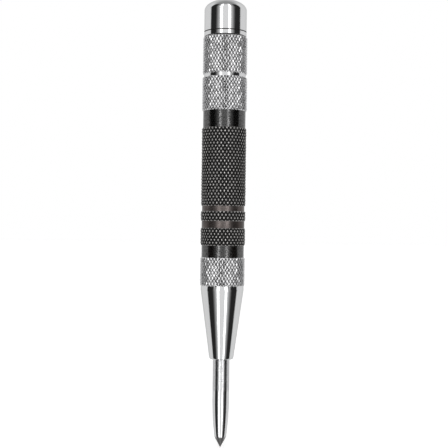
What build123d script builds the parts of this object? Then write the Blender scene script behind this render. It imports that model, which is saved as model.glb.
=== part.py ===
from build123d import *
import os
from math import cos, radians, sin, sqrt

# An automatic centre punch: a spring-loaded hand tool that marks metal when its point is
# pressed against the work.  It stands point down on the Z axis, with the tip at the origin.
#
# Pressing the barrel down pushes the point, its holder and the trip pin up into the barrel.
# At rest the trip pin leans, so its top catches the hammer's face beside the hole and lifts
# the hammer against the main spring.  The web inside the barrel straightens the pin as its
# taper rises through it, and at the end of the stroke the pin stands in line with the hole:
# the hammer drops over the pin and strikes.  Turning the cap sets the main spring's force.

# Heights along the axis, from the tip.
point_cone_top = 3.1
point_taper_top = 14.3
nose_bottom = 25.7
nose_step = 38.0
nose_shoulder = 45.7
nose_thread_bottom = 47.0
nose_top = 55.2
web_bottom = 64.5
web_top = 66.0
hammer_seat = 74.0
cap_bottom = 97.6
cap_groove_bottom = 107.35
cap_groove_top = 108.2
spigot_top = 113.0
cap_thread_top = 114.0
cap_knurl_top = 119.0
bead_bottom = 119.25
score_line = 120.55
cap_ceiling = 124.5
overall_length = 130.0

# Outside radii.
point_cone_radius = 1.72
shank_radius = 2.415
nose_rim_radius = 3.48
nose_shoulder_radius = 6.25
nose_knurl_radius = 6.55
grip_knurl_radius = 6.5
ring_knurl_radius = 6.525
cap_knurl_radius = 6.55
cap_upper_knurl_radius = 6.475
cap_groove_radius = 6.05
cap_neck_radius = 5.98
band_radius = 6.15
nose_collar_height = 1.3
knurl_chamfer = 0.3
rim_fillet = 0.9
edge_break = 0.3
spigot_chamfer = 0.4
score_depth = 0.2
score_half_width = 0.15

# The barrel's grooved stretch, from the nose upwards: (lower end, radius).
barrel_steps = [
    (nose_top, band_radius),
    (58.7, ring_knurl_radius),
    (63.7, 6.2),
    (65.75, ring_knurl_radius),
    (68.6, band_radius),
    (70.1, grip_knurl_radius),
    (92.7, band_radius),
]

# Bores and threads.  Both screwed joints are M11 x 0.75, drawn at their crests.
thread_radius = 5.45
thread_bore_radius = 5.5
guide_bore_radius = 2.46
chamber_radius = 4.2
nose_chamber_radius = 4.3
web_hole_radius = 2.1
pin_chamber_radius = 3.4
cap_chamber_radius = 4.4

# The point's holder, and the stud of the point that screws into it.
holder_flange_radius = 4.1
holder_flange_height = 2.6
holder_body_radius = 3.2
holder_top = 50.2
stud_radius = 1.5
stud_length = 5.6
tapped_hole_radius = 1.54
tapped_hole_depth = 6.4
socket_radius = 1.6

# The trip pin, measured along its own axis from the centre of its ball foot.
pin_pivot_height = 48.0
pin_lean = 2.2
pin_foot_radius = 1.5
pin_neck_radius = 1.2
pin_neck_bottom = 0.3
pin_flange_bottom = 2.7
pin_flange_top = 4.1
pin_flange_radius = 2.9
pin_radius = 1.8
pin_taper_bottom = 9.0
pin_taper_top = 17.0
pin_tip_radius = 1.3
pin_length = 25.9
pin_chamfer = 0.25

# The hammer.
hammer_radius = 4.12
hammer_length = 24.0
hammer_hole_radius = 1.6
hammer_hole_depth = 11.0
hammer_chamfer = 0.4
guide_chamfer = 0.5
spring_guide_radius = 2.6
spring_guide_length = 3.0

# The springs, drawn at their length at rest.  Each end is ground flat, which takes off this much.
spring_end_cut = 0.05
spring_play = 0.2
main_wire_radius = 0.6
main_coil_radius = 3.4
main_spring_turns = 10.5
trip_wire_radius = 0.275
trip_coil_small_radius = 2.35
trip_coil_cone_angle = 6.0
trip_spring_turns = 6.0

# The spring seat.
seat_radius = 4.2
seat_thickness = 2.5

# The crown: a shallow dome that rolls over into the side.
dome_radius = 10.9
dome_fillet = 2.8

# Worked out from the values above.
crown_edge = overall_length - dome_radius + sqrt(dome_radius**2 - band_radius**2)
hammer_top = hammer_seat + hammer_length
seat_bottom = cap_ceiling - seat_thickness
flange_rest = pin_pivot_height + pin_flange_top + spring_play

os.makedirs("parts", exist_ok=True)


# ---- Point ---------------------------------------------------------------------------------
# Hardened steel: a 60 degree tip, a slim ogive that runs into the shank, and a threaded stud.
with BuildPart() as point:
    with BuildSketch(Plane.XZ):
        with BuildLine():
            Line((0, 0), (point_cone_radius, point_cone_top))
            TangentArc(
                (shank_radius, point_taper_top),
                (point_cone_radius, point_cone_top),
                tangent=(0, -1),
            )
            Polyline(
                (shank_radius, point_taper_top),
                (shank_radius, nose_step),
                (stud_radius, nose_step),
                (stud_radius, nose_step + stud_length),
                (0, nose_step + stud_length),
                (0, 0),
            )
        make_face()
    revolve(axis=Axis.Z)
    stud_end = point.edges().filter_by(GeomType.CIRCLE).sort_by(Axis.Z)[-1]
    chamfer(stud_end, edge_break)
point.part.label = "point"


# ---- Point holder --------------------------------------------------------------------------
# A flanged steel plunger.  Its flange rests on the step inside the nose, the point screws into
# it from below, and the trip pin's ball foot stands in the socket in its top.
with BuildPart() as point_holder:
    with BuildSketch(Plane.XY.offset(nose_step)):
        Circle(holder_flange_radius)
    extrude(amount=holder_flange_height)
    with BuildSketch(Plane.XY.offset(nose_step + holder_flange_height)):
        Circle(holder_body_radius)
    extrude(amount=holder_top - nose_step - holder_flange_height)
    holder_rim = point_holder.edges().filter_by(GeomType.CIRCLE).sort_by(Axis.Z)[-1]
    chamfer(holder_rim, edge_break)
    with BuildSketch(Plane.XY.offset(nose_step)):
        Circle(tapped_hole_radius)
    extrude(amount=tapped_hole_depth, mode=Mode.SUBTRACT)
    with BuildSketch(Plane.XY.offset(pin_pivot_height)):
        Circle(socket_radius)
    extrude(amount=holder_top - pin_pivot_height, mode=Mode.SUBTRACT)
    with Locations((0, 0, pin_pivot_height)):
        Sphere(socket_radius, mode=Mode.SUBTRACT)
point_holder.part.label = "point_holder"


# ---- Trip pin ------------------------------------------------------------------------------
# The stepped pin leans towards +X about its ball foot.  It is turned about its own axis.
lean_direction = (sin(radians(pin_lean)), 0, cos(radians(pin_lean)))
lean_plane = Plane(
    origin=(0, 0, pin_pivot_height),
    x_dir=(cos(radians(pin_lean)), 0, -sin(radians(pin_lean))),
    z_dir=(0, -1, 0),
)
with BuildPart() as trip_pin:
    with BuildSketch(lean_plane):
        with BuildLine():
            foot = CenterArc((0, 0), pin_foot_radius, -90, 90)
            Polyline(
                foot @ 1,
                (pin_neck_radius, pin_neck_bottom),
                (pin_neck_radius, pin_flange_bottom),
                (pin_flange_radius, pin_flange_bottom),
                (pin_flange_radius, pin_flange_top),
                (pin_radius, pin_flange_top),
                (pin_radius, pin_taper_bottom),
                (pin_tip_radius, pin_taper_top),
                (pin_tip_radius, pin_length - pin_chamfer),
                (pin_tip_radius - pin_chamfer, pin_length),
                (0, pin_length),
                foot @ 0,
            )
        make_face()
    revolve(axis=Axis((0, 0, pin_pivot_height), lean_direction))
trip_pin.part.label = "trip_pin"


# ---- Trip spring ---------------------------------------------------------------------------
# A light conical spring between the pin's flange and the barrel's web.  It returns the point
# and tips the pin over.
with BuildPart() as trip_spring:
    with BuildLine() as trip_coil:
        Helix(
            pitch=(web_bottom - flange_rest) / trip_spring_turns,
            height=web_bottom - flange_rest,
            radius=trip_coil_small_radius,
            center=(0, 0, flange_rest),
            cone_angle=trip_coil_cone_angle,
        )
    with BuildSketch(Plane(origin=trip_coil.line @ 0, z_dir=trip_coil.line % 0)):
        Circle(trip_wire_radius)
    sweep(is_frenet=True)
    split(bisect_by=Plane.XY.offset(flange_rest + spring_end_cut), keep=Keep.TOP)
    split(bisect_by=Plane.XY.offset(web_bottom - spring_end_cut), keep=Keep.BOTTOM)
trip_spring.part.label = "trip_spring"


# ---- Nose cone -----------------------------------------------------------------------------
# The chromed lower end: a long cone with a rounded rim, a guide bore for the point, a step for
# the holder's flange, and a knurled ring with the thread for the barrel inside it.
with BuildPart() as nose_cone:
    with BuildSketch(Plane.XZ):
        with BuildLine():
            Polyline(
                (guide_bore_radius, nose_bottom),
                (nose_rim_radius, nose_bottom),
                (nose_shoulder_radius, nose_shoulder),
                (nose_shoulder_radius, nose_shoulder + nose_collar_height),
                (nose_knurl_radius, nose_shoulder + nose_collar_height + knurl_chamfer),
                (nose_knurl_radius, nose_top - knurl_chamfer),
                (nose_knurl_radius - knurl_chamfer, nose_top),
                (thread_bore_radius, nose_top),
                (thread_bore_radius, nose_thread_bottom),
                (nose_chamber_radius, nose_thread_bottom),
                (nose_chamber_radius, nose_step),
                (guide_bore_radius, nose_step),
                close=True,
            )
        make_face()
    revolve(axis=Axis.Z)
    lowest_edges = nose_cone.edges().filter_by(GeomType.CIRCLE).group_by(Axis.Z)[0]
    fillet(lowest_edges.sort_by(SortBy.RADIUS)[-1], rim_fillet)
nose_cone.part.label = "nose_cone"


# ---- Barrel --------------------------------------------------------------------------------
# A blacked steel tube, knurled in three bands, with a threaded spigot at each end.  A web with a
# round hole crosses it above the lower chamber, and the hammer rests on the shoulder over it.
with BuildPart() as barrel:
    with BuildSketch(Plane.XY.offset(nose_thread_bottom)):
        Circle(thread_radius)
    extrude(amount=nose_top - nose_thread_bottom)
    step_ends = [height for height, radius in barrel_steps[1:]] + [cap_bottom]
    for (height, radius), step_end in zip(barrel_steps, step_ends):
        with BuildSketch(Plane.XY.offset(height)):
            Circle(radius)
        extrude(amount=step_end - height)
    with BuildSketch(Plane.XY.offset(cap_bottom)):
        Circle(thread_radius)
    extrude(amount=spigot_top - cap_bottom)
    knurled_edges = [
        edge
        for edge in barrel.edges().filter_by(GeomType.CIRCLE)
        if edge.radius > band_radius + knurl_chamfer
    ]
    chamfer(knurled_edges, knurl_chamfer)
    bores = [
        (nose_thread_bottom, web_bottom, chamber_radius),
        (web_bottom, web_top, web_hole_radius),
        (web_top, hammer_seat, pin_chamber_radius),
        (hammer_seat, spigot_top, chamber_radius),
    ]
    for bore_bottom, bore_top, bore_radius in bores:
        with BuildSketch(Plane.XY.offset(bore_bottom)):
            Circle(bore_radius)
        extrude(amount=bore_top - bore_bottom, mode=Mode.SUBTRACT)
    spigot_rims = barrel.edges().filter_by(GeomType.CIRCLE).group_by(Axis.Z)
    chamfer(spigot_rims[-1].sort_by(SortBy.RADIUS)[-1], spigot_chamfer)
    chamfer(spigot_rims[0].sort_by(SortBy.RADIUS)[-1], spigot_chamfer)
barrel.part.label = "barrel"


# ---- Hammer --------------------------------------------------------------------------------
# A hardened slug with a blind hole in its lower face and a guide for the main spring on top.
with BuildPart() as hammer:
    with BuildSketch(Plane.XY.offset(hammer_seat)):
        Circle(hammer_radius)
    extrude(amount=hammer_length)
    chamfer(hammer.edges().filter_by(GeomType.CIRCLE), hammer_chamfer)
    with BuildSketch(Plane.XY.offset(hammer_top)):
        Circle(spring_guide_radius)
    extrude(amount=spring_guide_length)
    chamfer(hammer.edges().filter_by(GeomType.CIRCLE).sort_by(Axis.Z)[-1], guide_chamfer)
    with BuildSketch(Plane.XY.offset(hammer_seat)):
        Circle(hammer_hole_radius)
    extrude(amount=hammer_hole_depth, mode=Mode.SUBTRACT)
hammer.part.label = "hammer"


# ---- Main spring ---------------------------------------------------------------------------
# The heavy spring between the hammer and the spring seat.
with BuildPart() as main_spring:
    with BuildLine() as main_coil:
        Helix(
            pitch=(seat_bottom - hammer_top) / main_spring_turns,
            height=seat_bottom - hammer_top,
            radius=main_coil_radius,
            center=(0, 0, hammer_top),
        )
    with BuildSketch(Plane(origin=main_coil.line @ 0, z_dir=main_coil.line % 0)):
        Circle(main_wire_radius)
    sweep(is_frenet=True)
    split(bisect_by=Plane.XY.offset(hammer_top + spring_end_cut), keep=Keep.TOP)
    split(bisect_by=Plane.XY.offset(seat_bottom - spring_end_cut), keep=Keep.BOTTOM)
main_spring.part.label = "main_spring"


# ---- Spring seat ---------------------------------------------------------------------------
# A loose thrust disc under the cap's ceiling.  The cap turns on it, so the spring doesn't wind
# up, and the stem below it keeps the spring in line.
with BuildPart() as spring_seat:
    with BuildSketch(Plane.XY.offset(seat_bottom)):
        Circle(seat_radius)
    extrude(amount=seat_thickness)
    chamfer(spring_seat.edges().filter_by(GeomType.CIRCLE), edge_break)
    with BuildSketch(Plane.XY.offset(seat_bottom - spring_guide_length)):
        Circle(spring_guide_radius)
    extrude(amount=spring_guide_length)
    chamfer(spring_seat.edges().filter_by(GeomType.CIRCLE).sort_by(Axis.Z)[0], guide_chamfer)
spring_seat.part.label = "spring_seat"


# ---- Adjusting cap -------------------------------------------------------------------------
# One turned and chromed piece: two knurled bands with a polished groove between them, a narrow
# neck, a bead and a scored line, and a polished crown with a domed end.
with BuildPart() as adjusting_cap:
    with BuildSketch(Plane.XZ):
        with BuildLine():
            Polyline(
                (0, cap_ceiling),
                (cap_chamber_radius, cap_ceiling),
                (cap_chamber_radius, cap_thread_top),
                (thread_bore_radius, cap_thread_top),
                (thread_bore_radius, cap_bottom),
                (cap_knurl_radius - knurl_chamfer, cap_bottom),
                (cap_knurl_radius, cap_bottom + knurl_chamfer),
                (cap_knurl_radius, cap_groove_bottom - knurl_chamfer),
                (cap_groove_radius, cap_groove_bottom),
                (cap_groove_radius, cap_groove_top),
                (cap_upper_knurl_radius, cap_groove_top + knurl_chamfer),
                (cap_upper_knurl_radius, cap_knurl_top - knurl_chamfer),
                (cap_neck_radius, cap_knurl_top),
                (cap_neck_radius, bead_bottom),
                (band_radius, bead_bottom),
                (band_radius, score_line - score_half_width),
                (band_radius - score_depth, score_line),
                (band_radius, score_line + score_half_width),
                (band_radius, crown_edge),
            )
            RadiusArc((band_radius, crown_edge), (0, overall_length), -dome_radius)
            Line((0, overall_length), (0, cap_ceiling))
        make_face()
    revolve(axis=Axis.Z)
    rings = adjusting_cap.edges().filter_by(lambda edge: edge.is_closed)
    fillet(rings.sort_by(Axis.Z)[-1], dome_fillet)
adjusting_cap.part.label = "adjusting_cap"


pieces = [
    point,
    point_holder,
    trip_pin,
    trip_spring,
    nose_cone,
    barrel,
    hammer,
    main_spring,
    spring_seat,
    adjusting_cap,
]
for piece in pieces:
    export_step(piece.part, f"parts/{piece.part.label}.step")
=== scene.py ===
from math import atan2, cos, pi, radians, sin, tan

import bmesh
import bpy
from mathutils import Euler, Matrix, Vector


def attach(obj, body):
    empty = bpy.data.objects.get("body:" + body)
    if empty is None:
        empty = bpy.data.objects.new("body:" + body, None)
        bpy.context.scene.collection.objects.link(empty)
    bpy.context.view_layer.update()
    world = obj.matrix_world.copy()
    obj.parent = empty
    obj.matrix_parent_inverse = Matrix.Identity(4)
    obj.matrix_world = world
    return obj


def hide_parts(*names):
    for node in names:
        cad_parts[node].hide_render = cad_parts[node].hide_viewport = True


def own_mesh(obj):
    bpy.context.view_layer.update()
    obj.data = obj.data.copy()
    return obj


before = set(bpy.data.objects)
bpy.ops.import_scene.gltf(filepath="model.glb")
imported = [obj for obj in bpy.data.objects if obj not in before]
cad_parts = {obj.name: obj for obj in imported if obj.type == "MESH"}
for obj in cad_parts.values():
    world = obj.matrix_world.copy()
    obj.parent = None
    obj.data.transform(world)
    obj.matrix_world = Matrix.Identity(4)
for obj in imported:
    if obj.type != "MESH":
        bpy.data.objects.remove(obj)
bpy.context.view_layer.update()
MM = 0.001


# ---- Camera and studio -----------------------------------------------------------------------
# A level camera faces the upright tool from the -Y side.  The light is a plain soft studio, the same
# on both sides: a white card behind the lens, then a soft upright lamp, a dark board that shows where
# chrome curves, and white ground that dims behind.  The ceiling and the light from below are dimmer.
camera_distance = 0.2895
camera_height = 0.0649
camera_side_step = 0.0003
camera_roll = radians(-0.744)

camera_data = bpy.data.cameras.new("camera")
camera_data.lens = 80
camera_data.sensor_width = 36
camera_data.clip_start = 0.01
camera_data.dof.use_dof = False
camera = bpy.data.objects.new("camera", camera_data)
camera.location = (camera_side_step, -camera_distance, camera_height)
camera.rotation_euler = Euler((radians(90), camera_roll, 0))
bpy.context.scene.collection.objects.link(camera)
bpy.context.scene.camera = camera
bpy.context.scene.view_settings.view_transform = "Standard"


def calculate(tree, operation, *values):
    """Adds one Math node.  Each value is a number or another node's output."""
    node = tree.nodes.new("ShaderNodeMath")
    node.operation = operation
    for socket, value in zip(node.inputs, values):
        if isinstance(value, bpy.types.NodeSocket):
            tree.links.new(value, socket)
        else:
            socket.default_value = value
    return node.outputs[0]


def remap(tree, value, low, high, to_low, to_high):
    """Adds a Map Range node that clamps."""
    node = tree.nodes.new("ShaderNodeMapRange")
    tree.links.new(value, node.inputs["Value"])
    for name, number in (("From Min", low), ("From Max", high), ("To Min", to_low), ("To Max", to_high)):
        node.inputs[name].default_value = number
    return node.outputs[0]


def blend_values(tree, factor, first, second):
    """Mixes two numbers by a factor."""
    node = tree.nodes.new("ShaderNodeMix")
    for name, value in (("Factor", factor), ("A", first), ("B", second)):
        if isinstance(value, bpy.types.NodeSocket):
            tree.links.new(value, node.inputs[name])
        else:
            node.inputs[name].default_value = value
    return node.outputs["Result"]


studio = bpy.data.worlds.new("studio")
studio.use_nodes = True
bpy.context.scene.world = studio
tree = studio.node_tree
tree.nodes.clear()
heading = tree.nodes.new("ShaderNodeSeparateXYZ")
tree.links.new(tree.nodes.new("ShaderNodeTexCoord").outputs["Generated"], heading.inputs[0])
forwards = calculate(tree, "MULTIPLY", heading.outputs["Y"], -1)
bearing = calculate(tree, "ARCTAN2", heading.outputs["X"], forwards)
aside = calculate(tree, "ABSOLUTE", bearing)

ground_light = 1.05
back_light = 0.72
card_light = 1.15
lamp_light = 5.5
board_light = 0.03
ceiling_light = 0.45
under_light = 0.4
lamp_bearing = radians(22)
lamp_half_width = radians(2.5)
lamp_soft_edge = radians(3)
board_inner_edge = radians(30)
board_full_dark = radians(53)
board_outer_edge = radians(84)
board_end = radians(90)
back_begins = radians(125)
ceiling_begins = 0.78
ceiling_full = 0.95
under_begins = -0.78
under_full = -0.97
board_falloff = 0.6

from_lamp = calculate(tree, "ABSOLUTE", calculate(tree, "SUBTRACT", aside, lamp_bearing))
lamp = remap(tree, from_lamp, lamp_half_width, lamp_half_width + lamp_soft_edge, 1, 0)
light = blend_values(tree, lamp, card_light, lamp_light)
past_card = remap(tree, aside, board_inner_edge, board_full_dark, 0, 1)
past_card = calculate(tree, "POWER", past_card, board_falloff)
light = blend_values(tree, past_card, light, board_light)
past_board = remap(tree, aside, board_outer_edge, board_end, 0, 1)
ground = remap(tree, aside, back_begins, pi, ground_light, back_light)
light = blend_values(tree, past_board, light, ground)
upwards = heading.outputs["Z"]
light = blend_values(tree, remap(tree, upwards, ceiling_begins, ceiling_full, 0, 1), light, ceiling_light)
light = blend_values(tree, remap(tree, upwards, under_full, under_begins, 1, 0), light, under_light)

# The tool reflects the studio, and the camera sees plain white behind the tool.
studio_light = tree.nodes.new("ShaderNodeBackground")
tree.links.new(light, studio_light.inputs["Strength"])
white_ground = tree.nodes.new("ShaderNodeBackground")
white_ground.inputs["Color"].default_value = (1, 1, 1, 1)
seen = tree.nodes.new("ShaderNodeMixShader")
tree.links.new(tree.nodes.new("ShaderNodeLightPath").outputs["Is Camera Ray"], seen.inputs["Fac"])
tree.links.new(studio_light.outputs[0], seen.inputs[1])
tree.links.new(white_ground.outputs[0], seen.inputs[2])
tree.links.new(seen.outputs[0], tree.nodes.new("ShaderNodeOutputWorld").inputs["Surface"])


def plain_material(name):
    """A new node material with its Principled shader."""
    material = bpy.data.materials.new(name)
    material.use_nodes = True
    return material, material.node_tree, material.node_tree.nodes["Principled BSDF"]


floor_half = 3.0
floor_mesh = bpy.data.meshes.new("floor")
floor_mesh.from_pydata(
    [
        (-floor_half, -floor_half, 0),
        (floor_half, -floor_half, 0),
        (floor_half, floor_half, 0),
        (-floor_half, floor_half, 0),
    ],
    [],
    [(0, 1, 2, 3)],
)
floor = bpy.data.objects.new("floor", floor_mesh)
bpy.context.scene.collection.objects.link(floor)
pale_floor, tree, surface = plain_material("pale_floor")
surface.inputs["Base Color"].default_value = (0.9, 0.9, 0.9, 1)
surface.inputs["Roughness"].default_value = 0.9
surface.inputs["Emission Color"].default_value = (1, 1, 1, 1)
surface.inputs["Emission Strength"].default_value = 0.5
floor_mesh.materials.append(pale_floor)
floor.visible_glossy = False


# ---- Point -----------------------------------------------------------------------------------
# The hardened steel point: a ground 60 degree tip, a slim ogive and a straight shank that slides
# in the nose.  A plain stud at its top, with no thread cut, goes into the point holder.
point_cone_top = 3.1 * MM
point_cone_radius = 1.72 * MM
point_tip_radius = 0.08 * MM
point_tip_height = 0.1 * MM
point_edge = 0.06 * MM
point_taper_top = 14.3 * MM
shank_radius = 2.415 * MM
stud_radius = 1.5 * MM
stud_bottom = 38.0 * MM
stud_top = 43.6 * MM
stud_ease = 0.25 * MM
shank_ring = 25 * MM
shank_ease = 0.1 * MM
fine_ground_top = 16.6 * MM
finish_change = 0.3 * MM
point_facets = 128
longest_ease = 0.45
seam_gap = 0.002 * MM
crease_angle = radians(32)


def eased(profile, steps=4):
    """Rounds the corners of a profile.  Each corner is (radius, height, ease), ease in metres."""
    points = []
    for index, (r, z, ease) in enumerate(profile):
        corner = Vector((r, z))
        if not ease or index in (0, len(profile) - 1):
            points.append((r, z))
            continue
        before = Vector(profile[index - 1][:2]) - corner
        after = Vector(profile[index + 1][:2]) - corner
        half_angle = before.angle(after) / 2
        reach = min(
            ease / tan(half_angle), before.length * longest_ease, after.length * longest_ease
        )
        radius = reach * tan(half_angle)
        inward = (before.normalized() + after.normalized()).normalized()
        centre = corner + inward * (radius / sin(half_angle))
        start = corner + before.normalized() * reach - centre
        end = corner + after.normalized() * reach - centre
        first = atan2(start.y, start.x)
        turn = (atan2(end.y, end.x) - first + pi) % (2 * pi) - pi
        for step in range(steps + 1):
            angle = first + turn * step / steps
            points.append((centre.x + radius * cos(angle), centre.y + radius * sin(angle)))
    return points


def add_turned(shape, points, facets, material_index=0):
    """Turns a profile about the Z axis into an open or closed skin, one ring to each point."""
    rings = []
    for r, z in points:
        if r < 1e-7:
            rings.append([shape.verts.new((0, 0, z))])
            continue
        angles = (2 * pi * index / facets for index in range(facets))
        rings.append([shape.verts.new((r * cos(a), r * sin(a), z)) for a in angles])
    for lower, upper in zip(rings, rings[1:]):
        for index in range(facets):
            following = (index + 1) % facets
            if len(lower) == 1 and len(upper) == 1:
                break
            if len(lower) == 1:
                corners = (lower[0], upper[following], upper[index])
            elif len(upper) == 1:
                corners = (lower[index], lower[following], upper[0])
            else:
                corners = (lower[index], lower[following], upper[following], upper[index])
            shape.faces.new(corners).material_index = material_index


def finished_piece(name, shape, materials):
    """Closes the seams, points the faces outwards and makes the object at the origin."""
    bmesh.ops.remove_doubles(shape, verts=shape.verts, dist=seam_gap)
    bmesh.ops.recalc_face_normals(shape, faces=shape.faces)
    for face in shape.faces:
        face.smooth = True
    mesh = bpy.data.meshes.new(name)
    shape.to_mesh(mesh)
    shape.free()
    mesh.set_sharp_from_angle(angle=crease_angle)
    for material in materials:
        mesh.materials.append(material)
    piece = bpy.data.objects.new(name, mesh)
    bpy.context.scene.collection.objects.link(piece)
    return piece


def group_with(name, inputs, outputs):
    """A new shader node group with the named sockets."""
    group = bpy.data.node_groups.new(name, "ShaderNodeTree")
    for socket, kind in inputs:
        group.interface.new_socket(socket, in_out="INPUT", socket_type=kind)
    for socket, kind in outputs:
        group.interface.new_socket(socket, in_out="OUTPUT", socket_type=kind)
    return group, group.nodes.new("NodeGroupInput"), group.nodes.new("NodeGroupOutput")


def add_noise(tree, vector, scale, detail=2.0):
    """Adds a Noise Texture and returns its factor."""
    noise = tree.nodes.new("ShaderNodeTexNoise")
    noise.inputs["Scale"].default_value = scale
    noise.inputs["Detail"].default_value = detail
    tree.links.new(vector, noise.inputs["Vector"])
    return noise.outputs[0]


def stretched(tree, vector, x, y, z):
    """Scales a vector by a Mapping node."""
    mapping = tree.nodes.new("ShaderNodeMapping")
    mapping.inputs["Scale"].default_value = (x, y, z)
    tree.links.new(vector, mapping.inputs["Vector"])
    return mapping.outputs[0]


smear_scale = 160
smear_squash = 0.55
scratch_scale = 5200
scratch_squash = 0.06

# Fine rings left by the lathe and the polishing wheel: they follow the height on a side wall and
# the distance from the axis on an end face.
turning_marks, given, result = group_with(
    "turning_marks",
    [("Position", "NodeSocketVector"), ("Rings per metre", "NodeSocketFloat")],
    [("Height", "NodeSocketFloat")],
)
place = turning_marks.nodes.new("ShaderNodeSeparateXYZ")
turning_marks.links.new(given.outputs["Position"], place.inputs[0])
flat = stretched(turning_marks, given.outputs["Position"], 1, 1, 0)
from_axis = turning_marks.nodes.new("ShaderNodeVectorMath")
from_axis.operation = "LENGTH"
turning_marks.links.new(flat, from_axis.inputs[0])
along = calculate(turning_marks, "ADD", place.outputs["Z"], from_axis.outputs["Value"])
along = calculate(turning_marks, "MULTIPLY", along, given.outputs["Rings per metre"])
rings = turning_marks.nodes.new("ShaderNodeTexNoise")
rings.noise_dimensions = "1D"
rings.inputs["Scale"].default_value = 1
rings.inputs["Detail"].default_value = 3
turning_marks.links.new(along, rings.inputs["W"])
turning_marks.links.new(rings.outputs[0], result.inputs["Height"])

# Smears and short fine scratches from handling.
handling, given, result = group_with(
    "handling",
    [("Position", "NodeSocketVector")],
    [("Smear", "NodeSocketFloat"), ("Scratch", "NodeSocketFloat")],
)
smear_place = stretched(handling, given.outputs["Position"], 1, 1, smear_squash)
smear = add_noise(handling, smear_place, smear_scale, 4)
handling.links.new(remap(handling, smear, 0.42, 0.66, 0, 1), result.inputs["Smear"])
scratch_place = stretched(handling, given.outputs["Position"], 1, 1, scratch_squash)
scratch = add_noise(handling, scratch_place, scratch_scale, 1)
handling.links.new(remap(handling, scratch, 0.66, 0.72, 0, 1), result.inputs["Scratch"])


def place_group(tree, group, **values):
    """Places a node group in a material and feeds it the object's own coordinates."""
    node = tree.nodes.new("ShaderNodeGroup")
    node.node_tree = group
    coordinates = tree.nodes.new("ShaderNodeTexCoord")
    tree.links.new(coordinates.outputs["Object"], node.inputs["Position"])
    for name, value in values.items():
        node.inputs[name.replace("_", " ")].default_value = value
    return node


def add_bump(tree, surface, height, distance):
    """Feeds a height, times a distance in metres, to the shader's normal."""
    bump = tree.nodes.new("ShaderNodeBump")
    bump.inputs["Strength"].default_value = 1
    bump.inputs["Distance"].default_value = distance
    tree.links.new(height, bump.inputs["Height"])
    tree.links.new(bump.outputs["Normal"], surface.inputs["Normal"])


def blend_colours(tree, factor, first, second):
    """Mixes two colours, or a colour and a node's output, by a factor."""
    node = tree.nodes.new("ShaderNodeMix")
    node.data_type = "RGBA"
    tree.links.new(factor, node.inputs[0])
    for socket, value in ((node.inputs[6], first), (node.inputs[7], second)):
        if isinstance(value, bpy.types.NodeSocket):
            tree.links.new(value, socket)
        else:
            socket.default_value = (*value, 1)
    return node.outputs[2]


ground_steel, tree, surface = plain_material("ground_point_steel")
surface.inputs["Metallic"].default_value = 1
marks = place_group(tree, turning_marks, Rings_per_metre=16000)
wear = place_group(tree, handling)
place = tree.nodes.new("ShaderNodeSeparateXYZ")
object_place = tree.nodes.new("ShaderNodeTexCoord").outputs["Object"]
tree.links.new(object_place, place.inputs[0])
up = place.outputs["Z"]
speckle = add_noise(tree, stretched(tree, object_place, 1, 1, 2.2), 9000, 2)
rough_length = calculate(
    tree,
    "MULTIPLY",
    remap(tree, up, fine_ground_top - finish_change, fine_ground_top + finish_change, 0, 1),
    remap(tree, speckle, 0.4, 0.6, 0, 1),
)
tip_mask = remap(tree, up, point_cone_top - finish_change, point_cone_top + finish_change, 1, 0)
shank_colour = blend_colours(tree, rough_length, (0.68, 0.68, 0.69), (0.46, 0.46, 0.47))
tree.links.new(
    blend_colours(tree, tip_mask, shank_colour, (0.22, 0.215, 0.215)),
    surface.inputs["Base Color"],
)
roughness = remap(tree, wear.outputs["Smear"], 0, 1, 0.07, 0.13)
roughness = calculate(tree, "ADD", roughness, calculate(tree, "MULTIPLY", rough_length, 0.16))
roughness = calculate(tree, "ADD", roughness, calculate(tree, "MULTIPLY", tip_mask, 0.26))
tree.links.new(roughness, surface.inputs["Roughness"])
relief = calculate(tree, "ADD", marks.outputs["Height"], calculate(tree, "MULTIPLY", rough_length, 0.8))
add_bump(tree, surface, relief, 0.000006)

taper_arc_radius = (point_taper_top - point_cone_top) ** 2 / (2 * (shank_radius - point_cone_radius))
taper_steps = 14
profile = [
    (0, 0),
    (0.7 * point_tip_radius, 0.3 * point_tip_height),
    (point_tip_radius, point_tip_height),
    (point_cone_radius - point_edge / 2, point_cone_top - point_edge),
]
for step in range(taper_steps + 1):
    z = point_cone_top + (point_taper_top - point_cone_top) * step / taper_steps
    profile.append((shank_radius - (point_taper_top - z) ** 2 / (2 * taper_arc_radius), z))
profile += eased(
    [
        (shank_radius, shank_ring, 0),
        (shank_radius, stud_bottom, shank_ease),
        (stud_radius, stud_bottom, 0),
        (stud_radius, stud_top, stud_ease),
        (0, stud_top, 0),
    ]
)
shape = bmesh.new()
add_turned(shape, profile, point_facets)
point = finished_piece("punch_point", shape, [ground_steel])
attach(point, "plunger")
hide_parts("point")


# ---- Point holder, trip pin, hammer and spring seat -----------------------------------------
# The machined steel works inside the barrel, plain turned and oiled: the holder that carries the
# point, the leaning trip pin, the sliding hammer and the loose seat under the cap.
oiled_steel, tree, surface = plain_material("oiled_turned_steel")
surface.inputs["Metallic"].default_value = 1
marks = place_group(tree, turning_marks, Rings_per_metre=7000)
wear = place_group(tree, handling)
tree.links.new(
    blend_colours(tree, wear.outputs["Smear"], (0.50, 0.49, 0.47), (0.30, 0.27, 0.23)),
    surface.inputs["Base Color"],
)
tree.links.new(remap(tree, wear.outputs["Smear"], 0, 1, 0.34, 0.18), surface.inputs["Roughness"])
add_bump(tree, surface, marks.outputs["Height"], 0.000008)
for node_name in ("point_holder", "trip_pin", "hammer", "spring_seat"):
    for material_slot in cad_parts[node_name].material_slots:
        material_slot.material = oiled_steel


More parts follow.
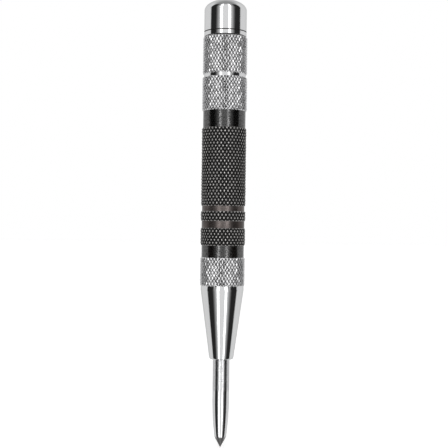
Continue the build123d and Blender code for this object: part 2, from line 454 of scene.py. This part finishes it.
# ---- Trip spring -----------------------------------------------------------------------------
# A light conical spring of music wire between the trip pin's flange and the web of the barrel.
# Its ends are closed and ground flat, and it shortens as the point is pushed in.
points_per_turn = 40
wire_facets = 12
ground_off = 0.4
closed_pitch = 2.04
spring_clearance = 0.05 * MM


def coil_spring_nodes():
    """A compression spring with one closed, ground coil at each end."""
    tree = bpy.data.node_groups.new("coil_spring", "GeometryNodeTree")
    for name, kind in (
        ("Bottom", "NodeSocketFloat"),
        ("Top", "NodeSocketFloat"),
        ("Bottom radius", "NodeSocketFloat"),
        ("Top radius", "NodeSocketFloat"),
        ("Wire radius", "NodeSocketFloat"),
        ("Turns", "NodeSocketFloat"),
        ("Material", "NodeSocketMaterial"),
    ):
        tree.interface.new_socket(name, in_out="INPUT", socket_type=kind)
    tree.interface.new_socket("Mesh", in_out="OUTPUT", socket_type="NodeSocketGeometry")
    given = tree.nodes.new("NodeGroupInput")
    wire = given.outputs["Wire radius"]
    turns = given.outputs["Turns"]
    line = tree.nodes.new("GeometryNodeCurvePrimitiveLine")
    fine = tree.nodes.new("GeometryNodeResampleCurve")
    tree.links.new(line.outputs[0], fine.inputs["Curve"])
    tree.links.new(calculate(tree, "MULTIPLY", turns, points_per_turn), fine.inputs["Count"])
    factor = tree.nodes.new("GeometryNodeSplineParameter").outputs["Factor"]
    turned_so_far = calculate(tree, "MULTIPLY", factor, turns)
    end_gap = calculate(tree, "MULTIPLY", wire, ground_off)
    closed_rise = calculate(tree, "MULTIPLY", wire, closed_pitch)
    ends = calculate(tree, "MULTIPLY", calculate(tree, "ADD", end_gap, closed_rise), 2)
    height = calculate(tree, "SUBTRACT", given.outputs["Top"], given.outputs["Bottom"])
    open_turns = calculate(tree, "SUBTRACT", turns, 2)
    open_rise = calculate(tree, "DIVIDE", calculate(tree, "SUBTRACT", height, ends), open_turns)
    first = calculate(tree, "MINIMUM", turned_so_far, 1)
    middle = calculate(tree, "SUBTRACT", turned_so_far, 1)
    middle = calculate(tree, "MAXIMUM", calculate(tree, "MINIMUM", middle, open_turns), 0)
    last = calculate(tree, "SUBTRACT", turned_so_far, calculate(tree, "SUBTRACT", turns, 1))
    last = calculate(tree, "MAXIMUM", last, 0)
    rise = calculate(tree, "MULTIPLY", calculate(tree, "ADD", first, last), closed_rise)
    rise = calculate(tree, "ADD", rise, calculate(tree, "MULTIPLY", middle, open_rise))
    z = calculate(tree, "ADD", calculate(tree, "ADD", given.outputs["Bottom"], end_gap), rise)
    widening = calculate(tree, "SUBTRACT", given.outputs["Top radius"], given.outputs["Bottom radius"])
    radius = calculate(tree, "MULTIPLY", widening, factor)
    radius = calculate(tree, "ADD", radius, given.outputs["Bottom radius"])
    angle = calculate(tree, "MULTIPLY", turned_so_far, 2 * pi)
    place = tree.nodes.new("ShaderNodeCombineXYZ")
    tree.links.new(calculate(tree, "MULTIPLY", radius, calculate(tree, "COSINE", angle)), place.inputs[0])
    tree.links.new(calculate(tree, "MULTIPLY", radius, calculate(tree, "SINE", angle)), place.inputs[1])
    tree.links.new(z, place.inputs[2])
    bent = tree.nodes.new("GeometryNodeSetPosition")
    tree.links.new(fine.outputs[0], bent.inputs["Geometry"])
    tree.links.new(place.outputs[0], bent.inputs["Position"])
    section = tree.nodes.new("GeometryNodeCurvePrimitiveCircle")
    section.inputs["Resolution"].default_value = wire_facets
    tree.links.new(wire, section.inputs["Radius"])
    swept = tree.nodes.new("GeometryNodeCurveToMesh")
    swept.inputs["Fill Caps"].default_value = True
    tree.links.new(bent.outputs[0], swept.inputs["Curve"])
    tree.links.new(section.outputs["Curve"], swept.inputs["Profile Curve"])
    where = tree.nodes.new("ShaderNodeSeparateXYZ")
    tree.links.new(tree.nodes.new("GeometryNodeInputPosition").outputs[0], where.inputs[0])
    ground_z = calculate(tree, "MAXIMUM", where.outputs["Z"], given.outputs["Bottom"])
    ground_z = calculate(tree, "MINIMUM", ground_z, given.outputs["Top"])
    ground_place = tree.nodes.new("ShaderNodeCombineXYZ")
    tree.links.new(where.outputs["X"], ground_place.inputs[0])
    tree.links.new(where.outputs["Y"], ground_place.inputs[1])
    tree.links.new(ground_z, ground_place.inputs[2])
    ground = tree.nodes.new("GeometryNodeSetPosition")
    tree.links.new(swept.outputs[0], ground.inputs["Geometry"])
    tree.links.new(ground_place.outputs[0], ground.inputs["Position"])
    finish_nodes(tree, ground.outputs[0], given.outputs["Material"])
    return tree


def finish_nodes(tree, geometry, material):
    """Ends a Geometry Nodes tree: smooth shading, instances made real, and the material."""
    smooth = tree.nodes.new("GeometryNodeSetShadeSmooth")
    real = tree.nodes.new("GeometryNodeRealizeInstances")
    painted = tree.nodes.new("GeometryNodeSetMaterial")
    tree.links.new(geometry, smooth.inputs["Geometry"])
    tree.links.new(smooth.outputs[0], real.inputs["Geometry"])
    tree.links.new(real.outputs[0], painted.inputs["Geometry"])
    tree.links.new(material, painted.inputs["Material"])
    tree.links.new(painted.outputs[0], tree.nodes.new("NodeGroupOutput").inputs[0])


def grown_mesh(name, tree, values):
    """Runs a Geometry Nodes tree with the given values and returns a plain mesh."""
    seed = bpy.data.objects.new(name, bpy.data.meshes.new(name))
    bpy.context.scene.collection.objects.link(seed)
    modifier = seed.modifiers.new(name, "NODES")
    modifier.node_group = tree
    for socket in tree.interface.items_tree:
        if socket.in_out == "INPUT" and socket.name in values:
            modifier[socket.identifier] = values[socket.name]
    graph = bpy.context.evaluated_depsgraph_get()
    mesh = bpy.data.meshes.new_from_object(seed.evaluated_get(graph), depsgraph=graph)
    bpy.data.objects.remove(seed)
    return mesh


spring_wire, tree, surface = plain_material("music_wire")
surface.inputs["Metallic"].default_value = 1
wear = place_group(tree, handling)
tree.links.new(
    blend_colours(tree, wear.outputs["Smear"], (0.36, 0.35, 0.34), (0.20, 0.17, 0.13)),
    surface.inputs["Base Color"],
)
tree.links.new(remap(tree, wear.outputs["Smear"], 0, 1, 0.22, 0.38), surface.inputs["Roughness"])
add_bump(tree, surface, wear.outputs["Scratch"], 0.000003)
coil_spring = coil_spring_nodes()


def spring_piece(name, values):
    """A spring from the coil spring nodes, as a plain mesh object."""
    mesh = grown_mesh(name, coil_spring, {**values, "Material": spring_wire})
    piece = bpy.data.objects.new(name, mesh)
    bpy.context.scene.collection.objects.link(piece)
    return piece


web_bottom = 64.5 * MM
trip_spring_bottom = 52.35 * MM
trip_spring = spring_piece(
    "trip_return_spring",
    {
        "Bottom": trip_spring_bottom,
        "Top": web_bottom - spring_clearance,
        "Bottom radius": 2.35 * MM,
        "Top radius": 3.6 * MM,
        "Wire radius": 0.275 * MM,
        "Turns": 6.0,
    },
)
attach(trip_spring, "housing")
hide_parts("trip_spring")
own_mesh(trip_spring)


# ---- Nose cone -------------------------------------------------------------------------------
# Turned steel, polished and chromed: a long cone with a rounded rim round the point, and a knurled
# ring whose plain inner bore fits over the barrel's spigot.
knurl_starts = 40
knurl_helix = radians(33)
knurl_steps = 5
knurl_depth = 0.25 * MM
knurl_chamfer = 0.3 * MM
knurl_unevenness = 0.3
groove_steepness = 2.5
rounding_guard = 0.001
ring_facets = knurl_starts * knurl_steps
nose_bottom = 25.7 * MM
nose_step = 38.0 * MM
nose_shoulder = 45.7 * MM
nose_knurl_bottom = 47.0 * MM
nose_top = 55.2 * MM
nose_rim_radius = 3.48 * MM
nose_shoulder_radius = 6.25 * MM
nose_knurl_radius = 6.55 * MM
guide_bore_radius = 2.46 * MM
nose_chamber_radius = 4.3 * MM
thread_bore_radius = 5.5 * MM


def diamond_knurl_nodes():
    """Two crossing sets of helical grooves rolled into a ring.  The grid runs along the grooves,
    so each diamond has true edges.  The ring's ends run out into a chamfer.  Attribute "groove" is 1 at
    the bottom of a groove, and "diamond" is a random number for each diamond."""
    tree = bpy.data.node_groups.new("diamond_knurl", "GeometryNodeTree")
    for name, kind in (
        ("Radius", "NodeSocketFloat"),
        ("Bottom", "NodeSocketFloat"),
        ("Top", "NodeSocketFloat"),
        ("Depth", "NodeSocketFloat"),
        ("Chamfer", "NodeSocketFloat"),
        ("Starts", "NodeSocketInt"),
        ("Steps", "NodeSocketInt"),
        ("Rows", "NodeSocketInt"),
        ("Unevenness", "NodeSocketFloat"),
        ("Seed", "NodeSocketInt"),
        ("Material", "NodeSocketMaterial"),
    ):
        tree.interface.new_socket(name, in_out="INPUT", socket_type=kind)
    tree.interface.new_socket("Mesh", in_out="OUTPUT", socket_type="NodeSocketGeometry")
    given = tree.nodes.new("NodeGroupInput")
    steps = given.outputs["Steps"]
    starts = given.outputs["Starts"]
    rows = given.outputs["Rows"]
    columns = calculate(tree, "MULTIPLY", starts, steps)
    grid = tree.nodes.new("GeometryNodeMeshGrid")
    grid.inputs["Size X"].default_value = 1
    grid.inputs["Size Y"].default_value = 1
    tree.links.new(calculate(tree, "ADD", columns, 1), grid.inputs["Vertices X"])
    tree.links.new(calculate(tree, "ADD", rows, 1), grid.inputs["Vertices Y"])
    split = tree.nodes.new("GeometryNodeTriangulate")
    split.quad_method = "FIXED_ALTERNATE"
    tree.links.new(grid.outputs["Mesh"], split.inputs["Mesh"])
    where = tree.nodes.new("ShaderNodeSeparateXYZ")
    tree.links.new(tree.nodes.new("GeometryNodeInputPosition").outputs[0], where.inputs[0])
    across = calculate(tree, "ADD", where.outputs["X"], 0.5)
    upwards = calculate(tree, "ADD", where.outputs["Y"], 0.5)
    column = calculate(tree, "ROUND", calculate(tree, "MULTIPLY", across, columns))
    row = calculate(tree, "ROUND", calculate(tree, "MULTIPLY", upwards, rows))
    half_row = calculate(tree, "MULTIPLY", row, 0.5)
    around = calculate(tree, "DIVIDE", calculate(tree, "ADD", column, half_row), columns)
    angle = calculate(tree, "MULTIPLY", around, 2 * pi)
    height = calculate(tree, "SUBTRACT", given.outputs["Top"], given.outputs["Bottom"])
    climb = calculate(tree, "MULTIPLY", upwards, height)
    right_hand = calculate(tree, "DIVIDE", calculate(tree, "ADD", column, row), steps)
    left_hand = calculate(tree, "DIVIDE", column, steps)

    def flank(turns):
        """The wall's height over a groove, 0 at its bottom and 1 on the diamond's flat."""
        distance = calculate(tree, "PINGPONG", turns, 0.5)
        return calculate(tree, "MINIMUM", calculate(tree, "MULTIPLY", distance, groove_steepness), 1)

    relief = calculate(tree, "MINIMUM", flank(right_hand), flank(left_hand))
    cell = tree.nodes.new("ShaderNodeCombineXYZ")
    for index, turns in enumerate((right_hand, left_hand)):
        number = calculate(tree, "FLOOR", calculate(tree, "ADD", turns, rounding_guard))
        tree.links.new(calculate(tree, "MODULO", number, starts), cell.inputs[index])
    tree.links.new(given.outputs["Seed"], cell.inputs[2])
    chance = tree.nodes.new("ShaderNodeTexWhiteNoise")
    tree.links.new(cell.outputs[0], chance.inputs["Vector"])
    loss = calculate(tree, "MULTIPLY", chance.outputs["Value"], given.outputs["Unevenness"])
    tall = calculate(tree, "MULTIPLY", relief, calculate(tree, "SUBTRACT", 1, loss))
    sunk = calculate(tree, "MULTIPLY", given.outputs["Depth"], calculate(tree, "SUBTRACT", 1, tall))
    radius = calculate(tree, "SUBTRACT", given.outputs["Radius"], sunk)
    end_distance = calculate(tree, "MINIMUM", climb, calculate(tree, "SUBTRACT", height, climb))
    edge = calculate(tree, "SUBTRACT", given.outputs["Radius"], given.outputs["Chamfer"])
    edge = calculate(tree, "ADD", edge, end_distance)
    radius = calculate(tree, "MINIMUM", radius, edge)
    place = tree.nodes.new("ShaderNodeCombineXYZ")
    tree.links.new(calculate(tree, "MULTIPLY", radius, calculate(tree, "COSINE", angle)), place.inputs[0])
    tree.links.new(calculate(tree, "MULTIPLY", radius, calculate(tree, "SINE", angle)), place.inputs[1])
    tree.links.new(calculate(tree, "ADD", given.outputs["Bottom"], climb), place.inputs[2])
    marked = tree.nodes.new("GeometryNodeStoreNamedAttribute")
    marked.data_type = "FLOAT"
    marked.domain = "POINT"
    marked.inputs["Name"].default_value = "groove"
    tree.links.new(split.outputs[0], marked.inputs["Geometry"])
    tree.links.new(calculate(tree, "SUBTRACT", 1, tall), marked.inputs["Value"])
    numbered = tree.nodes.new("GeometryNodeStoreNamedAttribute")
    numbered.data_type = "FLOAT"
    numbered.domain = "POINT"
    numbered.inputs["Name"].default_value = "diamond"
    tree.links.new(marked.outputs[0], numbered.inputs["Geometry"])
    tree.links.new(chance.outputs["Value"], numbered.inputs["Value"])
    rolled = tree.nodes.new("GeometryNodeSetPosition")
    tree.links.new(numbered.outputs[0], rolled.inputs["Geometry"])
    tree.links.new(place.outputs[0], rolled.inputs["Position"])
    finish_nodes(tree, rolled.outputs[0], given.outputs["Material"])
    return tree


diamond_knurl = diamond_knurl_nodes()


def add_knurl(shape, bottom, top, radius, starts, material, seed):
    """Adds one knurled band, as the second material, to a shape that is being turned."""
    cell_height = 2 * pi * radius / starts / tan(knurl_helix)
    pairs = round((top - bottom) / (cell_height / knurl_steps))
    mesh = grown_mesh(
        "knurl",
        diamond_knurl,
        {
            "Radius": radius,
            "Bottom": bottom,
            "Top": top,
            "Depth": knurl_depth,
            "Chamfer": knurl_chamfer,
            "Starts": starts,
            "Steps": knurl_steps,
            "Rows": 2 * pairs,
            "Unevenness": knurl_unevenness,
            "Seed": seed,
            "Material": material,
        },
    )
    already = len(shape.faces)
    shape.from_mesh(mesh)
    shape.faces.ensure_lookup_table()
    for face in shape.faces[already:]:
        face.material_index = 1
    bpy.data.meshes.remove(mesh)


# Bright chrome over polished steel, with faint smears.
polished_chrome, tree, surface = plain_material("polished_chrome")
surface.inputs["Metallic"].default_value = 1
surface.inputs["Base Color"].default_value = (0.71, 0.715, 0.72, 1)
marks = place_group(tree, turning_marks, Rings_per_metre=9000)
wear = place_group(tree, handling)
tree.links.new(remap(tree, wear.outputs["Smear"], 0, 1, 0.06, 0.11), surface.inputs["Roughness"])
cut = calculate(tree, "MULTIPLY", wear.outputs["Scratch"], -0.6)
relief = calculate(tree, "ADD", marks.outputs["Height"], cut)
add_bump(tree, surface, relief, 0.0000028)

# The same chrome over a rolled knurl: bright on the diamonds, which differ a little from one to the next,
# and near black towards the groove bottoms, which is painted shade with some dirt.
knurled_chrome, tree, surface = plain_material("knurled_chrome")
surface.inputs["Metallic"].default_value = 1
wear = place_group(tree, handling)
groove = tree.nodes.new("ShaderNodeAttribute")
groove.attribute_name = "groove"
diamond = tree.nodes.new("ShaderNodeAttribute")
diamond.attribute_name = "diamond"
# Near-black base colour towards the bottoms of the grooves: painted shade, with some dirt.
groove_dirt_and_shade = remap(tree, groove.outputs["Fac"], 0.6, 1.0, 0, 1)
flats = blend_colours(tree, diamond.outputs["Fac"], (0.90, 0.90, 0.91), (0.66, 0.66, 0.67))
tree.links.new(blend_colours(tree, groove_dirt_and_shade, flats, (0.02, 0.019, 0.018)), surface.inputs["Base Color"])
tree.links.new(remap(tree, groove.outputs["Fac"], 0, 1, 0.24, 0.45), surface.inputs["Roughness"])
add_bump(tree, surface, wear.outputs["Scratch"], 0.000002)

shape = bmesh.new()
add_turned(
    shape,
    eased(
        [
            (nose_knurl_radius - knurl_chamfer, nose_top, 0),
            (thread_bore_radius, nose_top, 0.1 * MM),
            (thread_bore_radius, nose_knurl_bottom, 0),
            (nose_chamber_radius, nose_knurl_bottom, 0),
            (nose_chamber_radius, nose_step, 0),
            (guide_bore_radius, nose_step, 0.1 * MM),
            (guide_bore_radius, nose_bottom, 0.12 * MM),
            (nose_rim_radius, nose_bottom, 0.9 * MM),
            (nose_shoulder_radius, nose_shoulder, 0.35 * MM),
            (nose_shoulder_radius, nose_knurl_bottom, 0),
        ],
        steps=6,
    ),
    ring_facets,
)
add_knurl(shape, nose_knurl_bottom, nose_top, nose_knurl_radius, knurl_starts, knurled_chrome, 11)
nose = finished_piece("nose_cone_shell", shape, [polished_chrome, knurled_chrome])
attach(nose, "housing")
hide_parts("nose_cone")


# ---- Barrel ----------------------------------------------------------------------------------
# A blacked steel tube with a long knurled grip and two narrow knurled rings, smooth bands at both
# ends, a plain spigot for the nose cone and a fine thread for the cap.
band_radius = 6.15 * MM
groove_radius = 6.2 * MM
ring_knurl_radius = 6.525 * MM
grip_knurl_radius = 6.5 * MM
grip_starts = 37
grip_facets = grip_starts * knurl_steps
thread_radius = 5.45 * MM
thread_root_radius = 5.05 * MM
thread_pitch = 0.75 * MM
thread_fade = 0.6 * MM
thread_root_flat = 0.12
thread_crest_flat = 0.88
thread_rows_per_turn = 8
barrel_bottom = 47.0 * MM
wide_ring_bottom = 58.7 * MM
wide_ring_top = 63.7 * MM
narrow_ring_bottom = 65.75 * MM
narrow_ring_top = 68.6 * MM
grip_bottom = 70.1 * MM
grip_top = 92.7 * MM
cap_bottom = 97.6 * MM
spigot_top = 113.0 * MM
web_top = 66.0 * MM
hammer_seat = 74.0 * MM
chamber_radius = 4.2 * MM
web_hole_radius = 2.1 * MM
pin_chamber_radius = 3.4 * MM


def screw_thread_nodes():
    """An outside V thread cut into a plain spigot.  It fades out at both ends."""
    tree = bpy.data.node_groups.new("screw_thread", "GeometryNodeTree")
    for name, kind in (
        ("Crest radius", "NodeSocketFloat"),
        ("Root radius", "NodeSocketFloat"),
        ("Bottom", "NodeSocketFloat"),
        ("Top", "NodeSocketFloat"),
        ("Pitch", "NodeSocketFloat"),
        ("Facets", "NodeSocketInt"),
        ("Rows per turn", "NodeSocketInt"),
        ("Material", "NodeSocketMaterial"),
    ):
        tree.interface.new_socket(name, in_out="INPUT", socket_type=kind)
    tree.interface.new_socket("Mesh", in_out="OUTPUT", socket_type="NodeSocketGeometry")
    given = tree.nodes.new("NodeGroupInput")
    facets = given.outputs["Facets"]
    pitch = given.outputs["Pitch"]
    height = calculate(tree, "SUBTRACT", given.outputs["Top"], given.outputs["Bottom"])
    turns = calculate(tree, "DIVIDE", height, pitch)
    rows = calculate(tree, "ROUND", calculate(tree, "MULTIPLY", turns, given.outputs["Rows per turn"]))
    grid = tree.nodes.new("GeometryNodeMeshGrid")
    grid.inputs["Size X"].default_value = 1
    grid.inputs["Size Y"].default_value = 1
    tree.links.new(calculate(tree, "ADD", facets, 1), grid.inputs["Vertices X"])
    tree.links.new(calculate(tree, "ADD", rows, 1), grid.inputs["Vertices Y"])
    where = tree.nodes.new("ShaderNodeSeparateXYZ")
    tree.links.new(tree.nodes.new("GeometryNodeInputPosition").outputs[0], where.inputs[0])
    across = calculate(tree, "ADD", where.outputs["X"], 0.5)
    climb = calculate(tree, "MULTIPLY", calculate(tree, "ADD", where.outputs["Y"], 0.5), height)
    phase = calculate(tree, "SUBTRACT", calculate(tree, "DIVIDE", climb, pitch), across)
    wave = calculate(tree, "MULTIPLY", calculate(tree, "PINGPONG", phase, 0.5), 2)
    wave = remap(tree, wave, thread_root_flat, thread_crest_flat, 0, 1)
    end_distance = calculate(tree, "MINIMUM", climb, calculate(tree, "SUBTRACT", height, climb))
    fade = remap(tree, end_distance, 0, thread_fade, 0, 1)
    deep = calculate(tree, "SUBTRACT", given.outputs["Crest radius"], given.outputs["Root radius"])
    raised = calculate(tree, "MULTIPLY", calculate(tree, "MULTIPLY", wave, fade), deep)
    radius = calculate(tree, "ADD", given.outputs["Root radius"], raised)
    angle = calculate(tree, "MULTIPLY", across, 2 * pi)
    place = tree.nodes.new("ShaderNodeCombineXYZ")
    tree.links.new(calculate(tree, "MULTIPLY", radius, calculate(tree, "COSINE", angle)), place.inputs[0])
    tree.links.new(calculate(tree, "MULTIPLY", radius, calculate(tree, "SINE", angle)), place.inputs[1])
    tree.links.new(calculate(tree, "ADD", given.outputs["Bottom"], climb), place.inputs[2])
    cut = tree.nodes.new("GeometryNodeSetPosition")
    tree.links.new(grid.outputs["Mesh"], cut.inputs["Geometry"])
    tree.links.new(place.outputs[0], cut.inputs["Position"])
    finish_nodes(tree, cut.outputs[0], given.outputs["Material"])
    return tree


# Smooth black oxide: nearly black, with a brown cast where the film is thin, a fine polish, and
# dull pores that take the shine away in specks.
black_band, tree, surface = plain_material("black_oxide_band")
marks = place_group(tree, turning_marks, Rings_per_metre=8000)
wear = place_group(tree, handling)
tree.links.new(
    blend_colours(tree, wear.outputs["Smear"], (0.0028, 0.0026, 0.0026), (0.0075, 0.0055, 0.0050)),
    surface.inputs["Base Color"],
)
surface.inputs["IOR"].default_value = 1.95
tree.links.new(remap(tree, wear.outputs["Smear"], 0, 1, 0.10, 0.16), surface.inputs["Roughness"])
speckle = add_noise(tree, tree.nodes.new("ShaderNodeTexCoord").outputs["Object"], 3600, 1)
tree.links.new(remap(tree, speckle, 0.48, 0.62, 0, 0.75), surface.inputs["Metallic"])
relief = calculate(tree, "ADD", calculate(tree, "MULTIPLY", speckle, 5), marks.outputs["Height"])
add_bump(tree, surface, relief, 0.000005)

# Black oxide over a rolled knurl: rubbed through to bright steel on the diamonds' flats, on some
# more than on others.
black_knurl, tree, surface = plain_material("black_oxide_knurl")
wear = place_group(tree, handling)
groove = tree.nodes.new("ShaderNodeAttribute")
groove.attribute_name = "groove"
rubbed = remap(tree, groove.outputs["Fac"], 0.25, 0.55, 1, 0)
diamond = tree.nodes.new("ShaderNodeAttribute")
diamond.attribute_name = "diamond"
rubbed = calculate(tree, "MULTIPLY", rubbed, remap(tree, diamond.outputs["Fac"], 0.1, 0.9, 0.4, 1))
rubbed = calculate(tree, "MULTIPLY", rubbed, remap(tree, wear.outputs["Smear"], 0, 1, 0.7, 1))
tree.links.new(
    blend_colours(tree, rubbed, (0.0025, 0.0022, 0.0022), (0.74, 0.72, 0.70)),
    surface.inputs["Base Color"],
)
tree.links.new(remap(tree, groove.outputs["Fac"], 0, 1, 0.16, 0.4), surface.inputs["Roughness"])
tree.links.new(rubbed, surface.inputs["Metallic"])
surface.inputs["Specular IOR Level"].default_value = 0.2
surface.inputs["IOR"].default_value = 1.5
add_bump(tree, surface, wear.outputs["Scratch"], 0.000002)

# The two narrow grooves between the knurls: as turned, with so thin a film of oxide that the steel
# shows through it as a warm grey.
thin_black, tree, surface = plain_material("thin_black_groove")
marks = place_group(tree, turning_marks, Rings_per_metre=9000)
wear = place_group(tree, handling)
tree.links.new(
    blend_colours(tree, wear.outputs["Smear"], (0.15, 0.130, 0.124), (0.06, 0.048, 0.044)),
    surface.inputs["Base Color"],
)
surface.inputs["Metallic"].default_value = 0.8
tree.links.new(remap(tree, marks.outputs["Height"], 0.3, 0.7, 0.24, 0.36), surface.inputs["Roughness"])
add_bump(tree, surface, marks.outputs["Height"], 0.000010)

knurled_stretches = [
    (wide_ring_bottom, wide_ring_top, ring_knurl_radius),
    (narrow_ring_bottom, narrow_ring_top, ring_knurl_radius),
    (grip_bottom, grip_top, grip_knurl_radius),
]
plain_stretches = [
    (nose_top, wide_ring_bottom, band_radius, 0),
    (wide_ring_top, narrow_ring_bottom, groove_radius, 2),
    (narrow_ring_top, grip_bottom, band_radius, 2),
    (grip_top, cap_bottom, band_radius, 0),
]
shape = bmesh.new()
bores = eased(
    [
        (thread_radius, nose_top, 0),
        (thread_radius, barrel_bottom, 0.3 * MM),
        (chamber_radius, barrel_bottom, 0.15 * MM),
        (chamber_radius, web_bottom, 0),
        (web_hole_radius, web_bottom, 0.15 * MM),
        (web_hole_radius, web_top, 0.15 * MM),
        (pin_chamber_radius, web_top, 0),
        (pin_chamber_radius, hammer_seat, 0.1 * MM),
        (chamber_radius, hammer_seat, 0),
        (chamber_radius, spigot_top, 0.15 * MM),
        (thread_root_radius, spigot_top, 0),
    ]
)
add_turned(shape, bores, grip_facets)
add_turned(shape, [(thread_radius, nose_top), (band_radius, nose_top)], grip_facets)
add_turned(shape, [(band_radius, cap_bottom), (thread_root_radius, cap_bottom)], grip_facets)
ends = {nose_top: band_radius, cap_bottom: band_radius}
for bottom, top, radius in knurled_stretches:
    ends[bottom] = radius - knurl_chamfer
    ends[top] = radius - knurl_chamfer
for bottom, top, radius, finish in plain_stretches:
    profile = [(ends[bottom], bottom), (radius, bottom), (radius, top), (ends[top], top)]
    add_turned(shape, profile, grip_facets, finish)
for index, (bottom, top, radius) in enumerate(knurled_stretches):
    add_knurl(shape, bottom, top, radius, grip_starts, black_knurl, 21 + index)
thread_mesh = grown_mesh(
    "thread",
    screw_thread_nodes(),
    {
        "Crest radius": thread_radius,
        "Root radius": thread_root_radius,
        "Bottom": cap_bottom,
        "Top": spigot_top,
        "Pitch": thread_pitch,
        "Facets": grip_facets,
        "Rows per turn": thread_rows_per_turn,
        "Material": black_band,
    },
)
shape.from_mesh(thread_mesh)
bpy.data.meshes.remove(thread_mesh)
barrel = finished_piece("barrel_grip", shape, [black_band, black_knurl, thin_black])
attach(barrel, "housing")
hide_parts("barrel")


# ---- Main spring -----------------------------------------------------------------------------
# The heavy spring over the hammer.  It is squeezed between the hammer and the spring seat as the
# point is pushed in, until the trip pin lets the hammer go.
hammer_top = 98.0 * MM
main_spring_top = 122.0 * MM
main_spring = spring_piece(
    "main_force_spring",
    {
        "Bottom": hammer_top + spring_clearance,
        "Top": main_spring_top - spring_clearance,
        "Bottom radius": 3.4 * MM,
        "Top radius": 3.4 * MM,
        "Wire radius": 0.6 * MM,
        "Turns": 10.5,
    },
)
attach(main_spring, "housing")
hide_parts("main_spring")
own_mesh(main_spring)


# ---- Adjusting cap ---------------------------------------------------------------------------
# Turned steel, knurled in two bands round a narrow polished groove, with a neck, a bead and a
# scored line under its polished, domed crown.  It is chromed, and screws down onto the spigot.
cap_groove_bottom = 107.35 * MM
cap_groove_top = 108.2 * MM
cap_thread_top = 114.0 * MM
cap_knurl_top = 119.0 * MM
bead_bottom = 119.25 * MM
score_line = 120.55 * MM
score_depth = 0.2 * MM
score_half_width = 0.15 * MM
bead_edge = 0.12 * MM
dome_bottom = 126.8 * MM
dome_top = 130.0 * MM
cap_ceiling = 124.5 * MM
cap_knurl_radius = 6.55 * MM
cap_upper_knurl_radius = 6.475 * MM
cap_groove_radius = 6.05 * MM
cap_neck_radius = 5.98 * MM
cap_chamber_radius = 4.4 * MM
dome_steps = 22

# Near-black colour in the scored line and on the neck under the bead: painted shade where these recesses
# lie in shadow, with grime and old polish.
shade_and_grime, tree, surface = plain_material("painted_shade_and_grime_in_the_scored_line")
wear = place_group(tree, handling)
tree.links.new(
    blend_colours(tree, wear.outputs["Smear"], (0.012, 0.011, 0.010), (0.035, 0.032, 0.030)),
    surface.inputs["Base Color"],
)
tree.links.new(remap(tree, wear.outputs["Smear"], 0, 1, 0.55, 0.75), surface.inputs["Roughness"])
add_bump(tree, surface, wear.outputs["Smear"], 0.00001)

shape = bmesh.new()
add_turned(
    shape,
    eased(
        [
            (0, cap_ceiling, 0),
            (cap_chamber_radius, cap_ceiling, 0.3 * MM),
            (cap_chamber_radius, cap_thread_top, 0.1 * MM),
            (thread_bore_radius, cap_thread_top, 0),
            (thread_bore_radius, cap_bottom, 0.15 * MM),
            (cap_knurl_radius - knurl_chamfer, cap_bottom, 0),
        ]
    ),
    ring_facets,
)
add_turned(
    shape,
    eased(
        [
            (cap_knurl_radius - knurl_chamfer, cap_groove_bottom, 0),
            (cap_groove_radius, cap_groove_bottom, 0),
            (cap_groove_radius, cap_groove_top, 0),
            (cap_upper_knurl_radius - knurl_chamfer, cap_groove_top, 0),
        ]
    ),
    ring_facets,
)
score_low = score_line - score_half_width
score_high = score_line + score_half_width
neck = [
    (cap_upper_knurl_radius - knurl_chamfer, cap_knurl_top),
    (cap_neck_radius, cap_knurl_top),
    (cap_neck_radius, bead_bottom),
    (band_radius - bead_edge, bead_bottom),
]
# The neck under the bead takes the near-black material: painted shade.
add_turned(shape, neck, ring_facets, 2)
bead = [
    (band_radius - bead_edge, bead_bottom),
    (band_radius, bead_bottom + bead_edge),
    (band_radius, score_low),
]
add_turned(shape, bead, ring_facets)
score = [(band_radius, score_low), (band_radius - score_depth, score_line), (band_radius, score_high)]
# The scored line takes the near-black material: painted shade, with grime.
add_turned(shape, score, ring_facets, 2)
crown = [(band_radius, score_high), (band_radius, dome_bottom)]
for step in range(1, dome_steps + 1):
    angle = pi / 2 * step / dome_steps
    crown.append((band_radius * cos(angle), dome_bottom + (dome_top - dome_bottom) * sin(angle)))
add_turned(shape, crown, ring_facets)
add_knurl(shape, cap_bottom, cap_groove_bottom, cap_knurl_radius, knurl_starts, knurled_chrome, 31)
add_knurl(shape, cap_groove_top, cap_knurl_top, cap_upper_knurl_radius, knurl_starts, knurled_chrome, 32)
cap = finished_piece("adjusting_cap_shell", shape, [polished_chrome, knurled_chrome, shade_and_grime])
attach(cap, "cap")
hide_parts("adjusting_cap")
